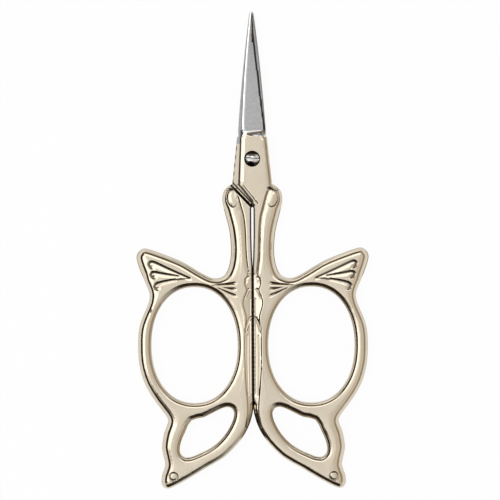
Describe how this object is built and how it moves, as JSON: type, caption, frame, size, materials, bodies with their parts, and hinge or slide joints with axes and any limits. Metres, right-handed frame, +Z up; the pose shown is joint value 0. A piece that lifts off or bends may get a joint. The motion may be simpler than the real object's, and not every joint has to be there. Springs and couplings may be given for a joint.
{
  "type": "embroidery scissors",
  "caption": "Closed embroidery scissors: slim pointed ground-steel blades, a slotted pivot screw and gold-plated bows pierced as butterfly wings. They open on the pivot to snip thread.",
  "frame": {"origin": "on the pivot axis, in the plane of the back faces that the closed scissors lie on", "axes": "+Y from the pivot to the blade tips, +Z up out of the front face, +X towards the front half's bow"},
  "size_m": [0.0606, 0.1242, 0.0041],
  "materials": {
    "gold_plated_steel": "champagne-gold plating on polished steel, with the blade ground bare to a satin grey",
    "screw_steel": "bright polished steel"
  },
  "bodies": {
    "back_half": {"back_half": "gold_plated_steel", "pivot_screw": "screw_steel"},
    "front_half": {"front_half": "gold_plated_steel"}
  },
  "joints": [
    {"name": "pivot", "type": "hinge", "parent": "back_half", "child": "front_half", "pos_m": [0, 0, 0.0018], "axis": [0, 0, 1], "range_deg": [0, 120]}
  ]
}
